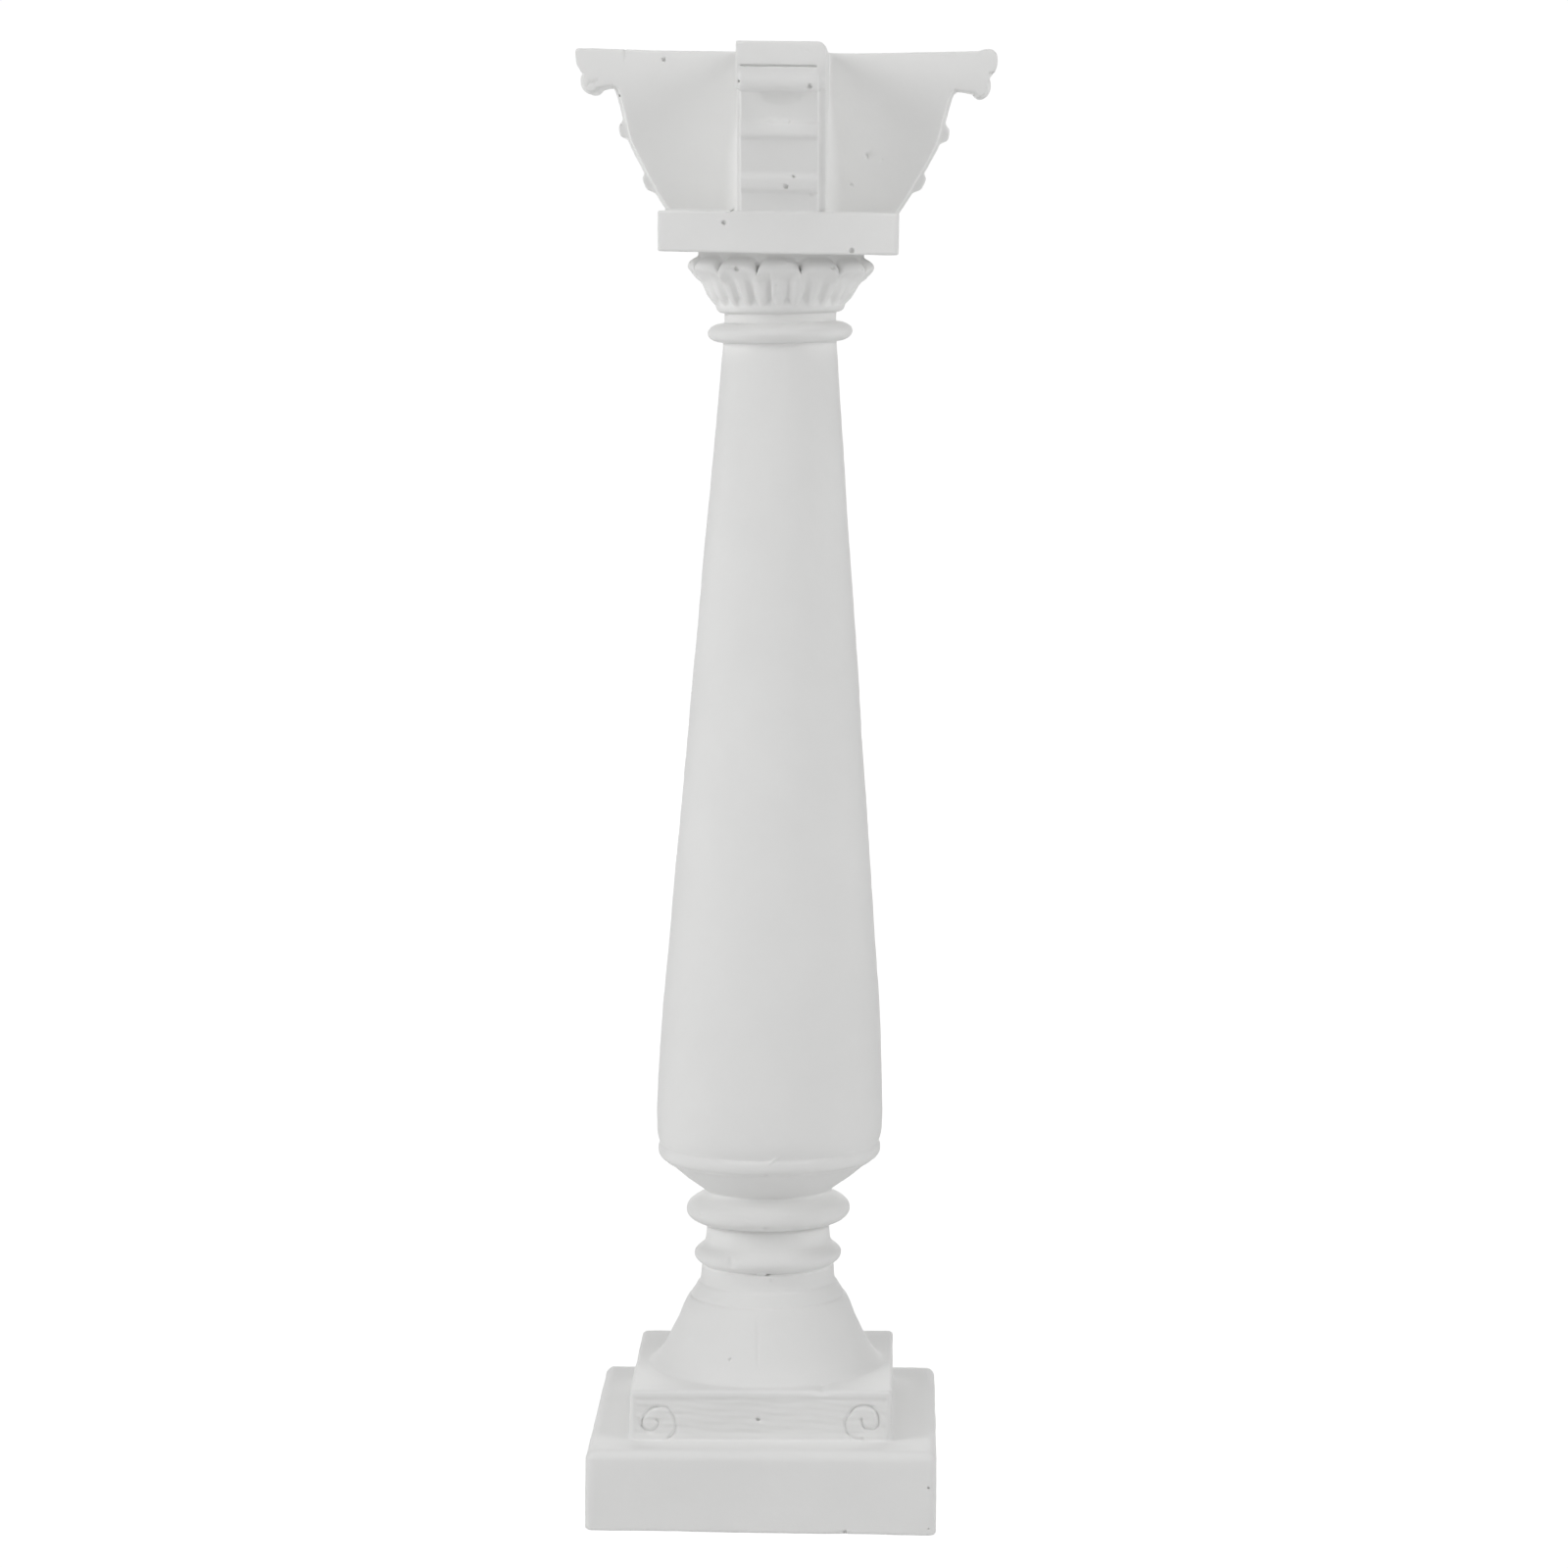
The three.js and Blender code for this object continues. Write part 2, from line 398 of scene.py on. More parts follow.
@dataclass
class TurnedBody:
    """All that is round: bell foot, necks, mouldings, bowl, shaft, ring and core.

    Attributes:
        bottom, top: heights of its ends, inside the blocks.
        bell_foot: radius of the bell's foot.
        shaft_foot: radius and height of the shaft's foot.
        shaft_top: radius and height of its top.
        shaft_ease: height below which it eases to upright.
        shaft_taper: what the radius loses on each millimetre above that.
        fillet: size of the joint to other members.
    """

    bottom: float = 16.0
    top: float = 174.0
    bell_foot: float = 16.5
    shaft_foot: Point2 = (15.67, 54.0)
    shaft_top: Point2 = (7.72, 160.3)
    shaft_ease: float = 72.0
    shaft_taper: float = 0.0797
    fillet: float = 0.15

    EASE_STEPS = 7
    RING_STEPS = 16

    def __post_init__(self) -> None:
        """Draws the profile and plots it."""
        # Bell, with a shallow step near its top.
        profile = Profile(self.bell_foot, self.bottom).to(self.bell_foot, 18.2)
        profile.through([(15.6, 18.95), (14.3, 20.65), (12.95, 23.4), (12.22, 24.95), (11.6, 26.6),
                         (10.95, 27.85)])
        profile.to(10.62, 28.0).through([(10.5, 28.4), (10.05, 29.1), (9.75, 29.65)], 5)
        profile.to(9.45, 29.85).to(9.3, 30.6).to(9.22, 31.95).to(8.85, 32.25)
        # Lower moulding and the neck above it.
        profile.through([(9.6, 32.7), (10.08, 33.2), (10.25, 33.8), (10.05, 34.3), (9.6, 34.75),
                         (9.1, 35.1)], 5)
        profile.through([(8.8, 35.5), (8.65, 36.1), (8.55, 36.9), (8.5, 37.5)], 4).to(8.15, 37.8)
        # Upper moulding.
        profile.through([(9.1, 37.98), (10.1, 38.4), (11.05, 39.2), (11.36, 40.1), (11.0, 41.1),
                         (10.0, 41.9)], 6)
        profile.through([(9.2, 42.25), (8.8, 42.6)], 4).to(8.75, 42.85)
        # Bowl and the band round its rim.
        profile.through([(9.6, 43.5), (11.15, 44.62), (12.1, 45.4), (12.95, 46.15), (13.85, 46.85),
                         (14.45, 47.2)])
        profile.to(14.5, 47.4).through([(15.05, 47.7), (15.36, 48.15), (15.44, 48.7), (15.4, 49.2)], 6)
        profile.to(15.16, 49.62).to(15.33, 50.0).through([(15.52, 50.7), (15.64, 51.6)], 5)
        # Shaft.
        for z in np.linspace(self.shaft_foot[1], self.shaft_ease, self.EASE_STEPS):
            profile.to(self.shaft_radius(z), z)
        profile.to(*self.shaft_top).to(7.6, 160.4)
        # Ring, the neck above it and the core behind the leaves.
        profile.points += arc((7.6, 161.75), (2.3, 1.35), -90.0, 90.0, self.RING_STEPS)[1:-1]
        profile.to(7.62, 163.1).to(7.62, 164.35)
        profile.to(8.25, 164.5).through([(8.6, 164.75), (8.85, 165.25)], 4)
        profile.to(8.8, 165.45).through([(9.4, 168.0), (10.3, 169.5), (11.2, 171.0)])
        profile.to(11.3, 171.4).to(11.3, self.top)
        self.plot = Plot([*profile.points, (-FAR, self.top)])

    def shaft_radius(self, z: float) -> float:
        """Radius of the shaft: a straight taper that eases to upright near the foot.

        Args:
            z: height.

        Returns:
            The radius there.
        """
        (foot_radius, foot_z), (top_radius, top_z) = self.shaft_foot, self.shaft_top
        straight = top_radius + self.shaft_taper * (top_z - z)
        if z >= self.shaft_ease:
            return straight
        missing = top_radius + self.shaft_taper * (top_z - foot_z) - foot_radius
        return straight - missing * ((self.shaft_ease - z) / (self.shaft_ease - foot_z)) ** 2

    def distance(self, x: Array, y: Array, z: Array) -> Array:
        """Distance from the turned surface."""
        return self.plot.distance(np.hypot(x, y), z)


@dataclass
class LeafRing:
    """Leaves shoulder to shoulder under the capital block, curling out at the top.

    Attributes:
        bottom, top: heights of the leaves' feet and lips.
        count: number of leaves.
        trough_depth: depth of the two troughs beside a leaf's midrib.
        pit_depth: further depth of the pit at the foot of a trough.
        notch_width: half of the width of the gap between two lips at its top.
        notch_foot: height at which the gap begins.
        lip_round: how much further the middle of a lip stands out than its ends.
        lip_sag: how much higher the middle of a lip lies than its ends.
        fillet: size of the joint to other members.
    """

    bottom: float = 164.9
    top: float = 172.4
    count: int = 13
    trough_depth: float = 0.62
    pit_depth: float = 0.5
    notch_width: float = 0.3
    notch_foot: float = 169.4
    lip_round: float = 0.35
    lip_sag: float = 0.8
    fillet: float = 0.25

    # Heights between which troughs, curl and lips set in, and the pits' height and reach.
    TROUGH = (170.2, 167.4)
    PIT = (165.9, 0.9)
    CURL = (167.4, 169.2)
    LIP = (168.6, 169.8)
    NOTCH_TOP = 171.2
    WIDEST_NOTCH = 0.9
    NOTCH_SPREAD = (0.7, 1.35)
    # The share of the sag that lifts the middle of a lip. Its ends drop by the rest.
    LIFT = 0.1
    BLUNT = 0.3

    def __post_init__(self) -> None:
        """Plots the outline of a leaf and draws the uneven widths of the gaps."""
        outline = [(-FAR, 165.2), (8.7, 165.3)]
        outline += spline([
            (8.7, 165.3), (9.35, 165.9), (10.05, 166.8), (10.55, 167.75), (10.85, 168.4), (11.2, 168.95),
            (11.75, 169.4), (12.4, 169.85), (12.72, 170.3), (12.66, 170.85), (12.2, 171.35), (11.4, 171.8),
        ], 6)
        self.plot = Plot([*outline, (10.6, 172.2), (-FAR, 172.2)])
        random = np.random.default_rng(SEED)
        self.widths = self.notch_width * random.uniform(*self.NOTCH_SPREAD, self.count)

    def distance(self, x: Array, y: Array, z: Array) -> Array:
        """Distance from the leaves' surface.

        Args:
            x, y, z: coordinates of the points.

        Returns:
            The distances, negative inside.
        """
        pitch = 2 * math.pi / self.count
        radius = np.hypot(x, y)
        angle = np.arctan2(x, -y)
        gap = np.floor(angle / pitch).astype(int)
        from_gap = angle - (gap + 0.5) * pitch
        across = np.abs(from_gap) / (pitch / 2)
        trough = (0.5 + 0.5 * np.cos(2 * math.pi * (across - 0.5))) ** 2
        pit_z, pit_reach = self.PIT
        pit = np.clip(1.0 - ((z - pit_z) / pit_reach) ** 2, 0.0, 1.0)
        depth = self.trough_depth * ramp(z, *self.TROUGH) + self.pit_depth * pit * pit
        # 1 at the gap between two leaves, and nearly 0 over the middle of a leaf.
        end = (1 - across) ** 5
        sag = self.lip_sag * (end - self.LIFT) * ramp(z, *self.CURL)
        body = self.plot.distance(radius, z + sag)
        body += depth * trough + self.lip_round * ramp(z, *self.LIP) * end
        rise = (z - self.notch_foot) / (self.NOTCH_TOP - self.notch_foot)
        width = np.minimum(self.widths[gap % self.count] * rise, self.WIDEST_NOTCH)
        wall = width - radius * np.abs(np.sin(from_gap))
        return smooth_cut(body, wall, self.BLUNT)


@dataclass(frozen=True)
class ArmShape:
    """Side view of an arm, from the dished top round the tip and its scroll down to the block.

    Attributes:
        reach: distance of the tip from the axis.
        top: height of the tip.
        nub: how far the end of the tip is swollen above that.
        corner: radius of the tip's upper corner.
        worn: radius of the upper right edge, seen from outside.
        taper: how far the tip draws in at its foot.
        scroll_width: half of the width of the scroll that hangs under the tip.
        scroll_start: angle at which the scroll's curve begins, in degrees above level.
        rolls: heights of the two rolls on the ribbon.
    """

    reach: float = 28.3
    top: float = HEIGHT
    nub: float = 0.0
    corner: float = 0.4
    worn: float = 0.0
    taper: float = 0.6
    scroll_width: float = 1.33
    scroll_start: float = 35.0
    rolls: Point2 = (188.6, 181.6)

    # Heights of the crossing, of the tip's foot, of the scroll's middle and of the step behind it.
    CROSSING = 199.3
    TIP_FOOT = 196.75
    SCROLL_MIDDLE = 195.2
    SOFFIT = 194.45
    SCROLL_HEIGHT = 1.72
    BELLY_STEPS = 150
    # The belly as (reach, height), and a roll on it as (height, rise).
    BELLY = ((22.63, 193.5), (21.95, 191.0), (21.1, 187.5), (19.1, 183.6), (17.2, 180.3), (15.7, 178.0),
             (14.6, 176.4))
    ROLL = ((-1.3, 0.0), (-1.15, 0.05), (-1.0, 0.34), (-0.78, 0.8), (-0.45, 0.9), (0.3, 0.8), (0.75, 0.66),
            (1.3, 0.14), (1.55, 0.0))

    def belly(self, inset: float, rolled: bool) -> list[Point2]:
        """The belly's line, from the scroll down to the block.

        Args:
            inset: how far it lies behind the ribbon's.
            rolled: whether it carries the rolls.

        Returns:
            Its (reach, height) points.
        """
        curve = [self.BELLY[0], *spline(list(self.BELLY), 8)]
        reaches, levels = (np.array(column)[::-1] for column in zip(*curve))
        z = np.linspace(levels[-1], levels[0], self.BELLY_STEPS)
        reach = np.interp(z, levels, reaches) - inset
        if rolled:
            offsets, heights = zip(*self.ROLL)
            for middle in self.rolls:
                reach = reach + np.interp(z - middle, offsets, heights, left=0.0, right=0.0)
        return list(zip(reach.tolist(), z.tolist()))

    def outline(self, inset: float, ribbon: bool) -> list[Point2]:
        """The outline of the arm.

        Args:
            inset: how far it lies behind the ribbon's under the tip.
            ribbon: whether it is the ribbon, with its rolls.

        Returns:
            Closed outline as (reach, height) points, from behind the axis.
        """
        tip, high = self.reach, self.top + self.nub
        # The dished top, the swollen end of the tip and the tip's face.
        points = [(-FAR, self.CROSSING), (8.0, self.CROSSING), (tip - 2.6, self.top)]
        points += [(tip - 1.9, self.top + 0.7 * self.nub), (tip - 1.4, high)]
        points += arc((tip - self.corner, high - self.corner), (self.corner, self.corner), 90.0, 0.0, 8)
        foot = self.TIP_FOOT
        points += [(tip, 198.3), (tip - self.taper / 6, 197.6), (tip - self.taper / 2, 197.1)]
        if not ribbon:
            points += [(tip - self.taper, foot)]
        else:
            points += [(tip - self.taper, foot + 0.2), (tip - 1.95 + self.scroll_width, foot - 0.15)]
        # The scroll, the step behind it and the belly.
        half = (self.scroll_width - 0.6 * inset, self.SCROLL_HEIGHT - 0.6 * inset)
        points += arc((tip - 2.05, self.SCROLL_MIDDLE), half, self.scroll_start, -145.0, 24)
        soffit = self.SOFFIT + 0.3 * inset
        points += [(24.2 - inset, soffit), (23.4 - inset, soffit + 0.06), (22.92 - inset, soffit - 0.3)]
        points += self.belly(inset, rolled=ribbon)
        return [*points, (13.0, 175.0), (-FAR, 175.0)]


@dataclass
class CapitalArms:
    """Four arms, as two plates set crosswise, each with a ribbon that stands a little proud.

    Attributes:
        shapes: side view of each arm.
        thickness: thickness of the plates.
        ribbon_width: width of the ribbons.
        ribbon_shift, ribbon_proud: how far a ribbon lies to the right, and how far it stands out.
        edge: radius of the edges.
        bottom, top: heights of the foot, inside the block, and of the tips.
        fillet: size of the soft joint to the block.
        joint, joint_growth: size of the joint between the plates near the top, and what it gains below.
        shift: how far right the crosswise and the lengthwise plate stand.
        slot, slot_depth: heights of the slot under each tip, and its depth.
    """

    shapes: dict[Side, ArmShape] = field(default_factory=lambda: {
        Side.FRONT: ArmShape(worn=1.2, taper=0.2, scroll_width=1.65, scroll_start=10.0),
        Side.RIGHT: ArmShape(reach=28.55, top=199.72, nub=0.3, corner=1.1, scroll_width=1.25,
                             rolls=(188.6, 181.95)),
        Side.BACK: ArmShape(),
        Side.LEFT: ArmShape(reach=28.14, top=199.5, scroll_width=1.4, rolls=(188.6, 181.5)),
    })
    thickness: float = 11.85
    ribbon_width: float = 10.35
    ribbon_shift: float = -0.3
    ribbon_proud: float = 0.45
    edge: float = 0.22
    bottom: float = 175.0
    top: float = HEIGHT
    fillet: float = 0.2
    joint: float = 0.3
    joint_growth: float = 1.9
    shift: Point2 = (0.27, 0.35)
    slot: Point2 = (196.74, 196.94)
    slot_depth: float = 0.6

    # Where the joint grows, the ribbons' own joint, and how far inside their edges a slot ends.
    JOINT_HEIGHTS = (196.0, 182.0)
    RIBBON_JOINT = 0.12
    SLOT_END = 0.2

    def __post_init__(self) -> None:
        """Plots the outlines."""
        shapes = self.shapes.items()
        self.plates = {side: Plot(shape.outline(self.ribbon_proud, False)) for side, shape in shapes}
        self.ribbons = {side: Plot(shape.outline(0.0, True)) for side, shape in shapes}

    def arm(self, side: Side, reach: Array, across: Array, z: Array) -> Array:
        """Distance from one arm.

        Args:
            side: which arm.
            reach, across, z: coordinates out along it, to its right seen from outside, and up.

        Returns:
            The distances, negative inside.
        """
        beside = across - self.ribbon_shift
        plate_side = np.abs(across) - self.thickness / 2
        ribbon_side = np.abs(beside) - self.ribbon_width / 2
        plate = round_edge(self.plates[side].distance(reach, z), plate_side, self.edge)
        ribbon = round_edge(self.ribbons[side].distance(reach, z), ribbon_side, self.edge)
        found = smooth_union(plate, ribbon, self.RIBBON_JOINT)
        shape = self.shapes[side]
        low, high = self.slot
        slot = np.maximum(np.abs(z - (low + high) / 2) - (high - low) / 2, ribbon_side + self.SLOT_END)
        found = np.maximum(found, -np.maximum(slot, shape.reach - self.slot_depth - reach))
        if shape.worn:
            found = np.maximum(found, round_edge(z - shape.top, across - self.thickness / 2, shape.worn))
        return found

    def pair(self, sides: tuple[Side, Side], along: Array, across: Array, z: Array) -> Array:
        """Distance from two arms in line.

        Args:
            sides: the arm ahead and the arm behind.
            along, across, z: coordinates out along the arm ahead, to its right, and up.

        Returns:
            The distances, negative inside.
        """
        found = np.empty_like(along)
        for side, sign in zip(sides, (1, -1)):
            mine = along * sign >= 0
            found[mine] = self.arm(side, along[mine] * sign, across[mine] * sign, z[mine])
        return found

    def distance(self, x: Array, y: Array, z: Array) -> Array:
        """Distance from the arms' surface.

        Args:
            x, y, z: coordinates of the points.

        Returns:
            The distances, negative inside.
        """
        side_shift, front_shift = self.shift
        crosswise = self.pair((Side.RIGHT, Side.LEFT), x - side_shift, y, z)
        lengthwise = self.pair((Side.FRONT, Side.BACK), -y, x - front_shift, z)
        joint = self.joint + self.joint_growth * ramp(z, *self.JOINT_HEIGHTS)
        return smooth_union(crosswise, lengthwise, joint)


@dataclass(frozen=True)
class Pinhole:
    """A burst air bubble, seen from the front.

    Attributes:
        x: place to the right of the middle, as seen from the front.
        z: height.
        radius: radius of the bubble.
    """

    x: float
    z: float
    radius: float = 0.31


@dataclass(frozen=True)
class Mark:
    """A small dent or lump on the side that faces the front.

    Attributes:
        x, z: place, as for a pinhole.
        half_width, half_height: half of its size.
        depth: depth of a dent, or below zero for a lump.
        turn: turn against the clock, in degrees.
    """

    x: float
    z: float
    half_width: float
    half_height: float
    depth: float
    turn: float = 0.0

    def at(self, x: Array, z: Array) -> Array:
        """Depth of the mark.

        Args:
            x, z: places seen from the front.

        Returns:
            The depths there.
        """
        angle = math.radians(self.turn)
        cos, sin = math.cos(angle), math.sin(angle)
        u = ((x - self.x) * cos + (z - self.z) * sin) / self.half_width
        v = ((z - self.z) * cos - (x - self.x) * sin) / self.half_height
        inside = np.clip(1.0 - u * u - v * v, 0.0, 1.0)
        return self.depth * inside * inside


PINHOLES = tuple(Pinhole(*numbers) for numbers in (
    (-16.0, 198.2), (-21.7, 193.4), (4.1, 194.3, 0.36), (2.0, 182.6, 0.23), (1.0, 181.4, 0.34),
    (-7.3, 176.5), (9.8, 172.95, 0.36), (-5.6, 170.4, 0.34), (7.2, 170.7), (11.2, 170.2, 0.29),
    (-9.4, 40.3, 0.34), (-0.2, 39.4, 0.26), (-0.2, 47.6, 0.26), (0.2, 32.6), (-0.6, 14.3, 0.29),
    (22.7, 6.7, 0.26), (22.8, 1.0), (11.5, 0.4, 0.29), (-4.7, 21.4, 0.23), (28.1, 196.65, 0.34),
    (-4.97, 194.9, 0.27),
))

MARKS = tuple(Mark(*numbers) for numbers in (
    # The mould's seam.
    (-0.73, 167.2, 0.3, 3.6, -0.24), (-1.2, 168.2, 0.27, 2.0, 0.18), (-0.5, 164.1, 0.1, 0.4, 0.18),
    (0.9, 49.65, 1.0, 0.3, -0.24, 30.0), (-0.95, 23.2, 0.32, 4.8, 0.14, 3.0),
    (0.77, 31.7, 0.35, 0.45, -0.2), (-0.5, 32.35, 1.0, 0.3, -0.25),
    # Other dents and lumps.
    (-21.23, 198.6, 0.3, 1.3, 0.17), (11.59, 185.66, 0.2, 0.6, 0.3, 20.0),
    (9.41, 181.83, 0.5, 0.17, 0.3, -30.0), (13.58, 185.16, 0.12, 0.35, 0.1),
    (-6.5, 178.0, 0.7, 0.18, 0.3, 40.0), (0.36, 193.1, 3.0, 1.3, 0.4), (-0.98, 190.0, 1.1, 0.32, -0.22),
    (1.34, 189.7, 0.32, 0.42, 0.18), (4.36, 180.4, 0.32, 0.32, 0.14), (4.0, 179.3, 0.14, 0.7, 0.07),
    (3.65, 198.8, 0.5, 0.28, 0.09), (2.9, 198.9, 0.14, 0.4, 0.07), (-26.0, 194.9, 0.15, 0.8, 0.16, -34.0),
    (-25.55, 195.0, 0.15, 0.85, 0.16, -34.0), (-25.1, 195.1, 0.14, 0.75, 0.14, -34.0),
    (-5.1, 174.5, 0.7, 0.25, 0.07), (12.7, 175.5, 0.6, 0.35, 0.06), (1.1, 171.2, 0.3, 0.25, -0.14),
    (-4.87, 33.9, 1.0, 0.85, 0.42), (8.1, 17.95, 1.7, 0.45, 0.24), (-2.6, 40.4, 0.5, 0.3, 0.1),
))


@dataclass
class Casting:
    """The whole casting: its members, the way it leans, and its flaws.

    Attributes:
        plinth, scroll_block, body, leaves, capital_block, arms: the members, from the foot up.
        lean: how far to the right the axis stands at the foot and at the top.
        tilts: rise of what should be level towards the left, as (height, degrees).
        nods: rise of what should be level towards the front, in the same way.
        waves, ripple: coarse and fine unevenness of the surface.
        bubbles: burst bubbles, as (x, y, z, radius).
    """

    plinth: SquareBlock = SquareBlock(47.6, 0.0, 11.5, 1.4, 1.1, foot_edge=0.4)
    scroll_block: ScrollBlock = ScrollBlock(35.9, 9.0, 18.3, 0.5, 0.9, 0.4, -0.3)
    body: TurnedBody = field(default_factory=TurnedBody)
    leaves: LeafRing = field(default_factory=LeafRing)
    capital_block: SquareBlock = SquareBlock(32.1, 172.5, 178.0, 0.3, 0.55, 0.15, -0.06)
    arms: CapitalArms = field(default_factory=CapitalArms)
    lean: Point2 = (-0.5, 0.25)
    tilts: tuple = ((0.0, 0.0), (8.0, -0.3), (12.0, -0.65), (18.0, -0.8), (28.0, -0.9), (60.0, -1.0),
                    (150.0, -1.2), (162.0, -1.75), (165.0, -1.5), (170.0, 0.0), (172.6, 0.4), (178.0, 0.2),
                    (200.0, 0.2))
    nods: tuple = ((0.0, 0.0), (8.0, -0.4), (11.9, -0.52), (12.8, 0.0), (28.0, 0.0), (32.3, 1.7),
                   (34.0, 0.6), (36.5, 3.0), (38.3, 4.0), (39.7, 1.0), (42.8, 1.5), (46.0, 0.0))
    waves: Unevenness = Unevenness(0.035, 14.0)
    ripple: Unevenness = Unevenness(0.012, 2.6, seed=SEED + 1)
    bubbles: list = field(default_factory=list)

    FRONT = -30.0
    FRONT_STEPS = 1501
    # A bubble's reach, its middle's depth as a share of its radius, and the softness of its rim.
    BUBBLE_REACH = 1.0
    BUBBLE_SINK = 0.65
    BUBBLE_EDGE = 0.06

    @staticmethod
    def slope(table: tuple[Point2, ...], z: Array) -> Array:
        """Slope, from a table.

        Args:
            table: (height, degrees) in order of height.
            z: heights.

        Returns:
            The slopes there, as rise over run.
        """
        heights, degrees = zip(*table)
        return np.tan(np.radians(np.interp(z, heights, degrees))).astype(np.float32)

    def distance(self, x: Array, y: Array, z: Array) -> Array:
        """Distance from the casting's surface.

        Args:
            x, y, z: coordinates of the points.

        Returns:
            The distances, negative inside.
        """
        x = x - (self.lean[0] + (self.lean[1] - self.lean[0]) * z / HEIGHT)
        level = z + self.slope(self.tilts, z) * x + self.slope(self.nods, z) * y
        total = np.full_like(x, FAR)
        members = (self.plinth, self.scroll_block, self.body, self.leaves, self.capital_block, self.arms)
        for member in members:
            near = (level > member.bottom - FAR) & (level < member.top + FAR)
            if near.any():
                found = member.distance(x[near], y[near], level[near])
                total[near] = smooth_union(total[near], found, member.fillet)
        total = total + self.waves.at(x, y, z) + self.ripple.at(x, y, z)
        for mark in MARKS:
            size = max(mark.half_width, mark.half_height)
            near = (y < 0) & (np.abs(level - mark.z) < size) & (np.abs(x - mark.x) < size)
            if near.any():
                total[near] += mark.at(x[near], level[near])
        total = np.maximum(total, np.maximum(-z, z - HEIGHT))
        for cx, cy, cz, radius in self.bubbles:
            near = np.abs(z - cz) < self.BUBBLE_REACH
            if near.any():
                ball = np.sqrt((x[near] - cx) ** 2 + (y[near] - cy) ** 2 + (z[near] - cz) ** 2)
                total[near] = smooth_cut(total[near], radius - ball, self.BUBBLE_EDGE)
        return total

    def burst_bubbles(self, pinholes: tuple[Pinhole, ...]) -> None:
        """Sets the bubbles, with their middles a little under the surface.

        Args:
            pinholes: where they lie.
        """
        y = np.linspace(self.FRONT, 0.0, self.FRONT_STEPS, dtype=np.float32)
        found = []
        for hole in pinholes:
            values = self.distance(np.full_like(y, hole.x), y, np.full_like(y, hole.z))
            surface = float(y[np.argmax(values < 0)])
            found.append((hole.x, surface + self.BUBBLE_SINK * hole.radius, hole.z, hole.radius))
        self.bubbles = found


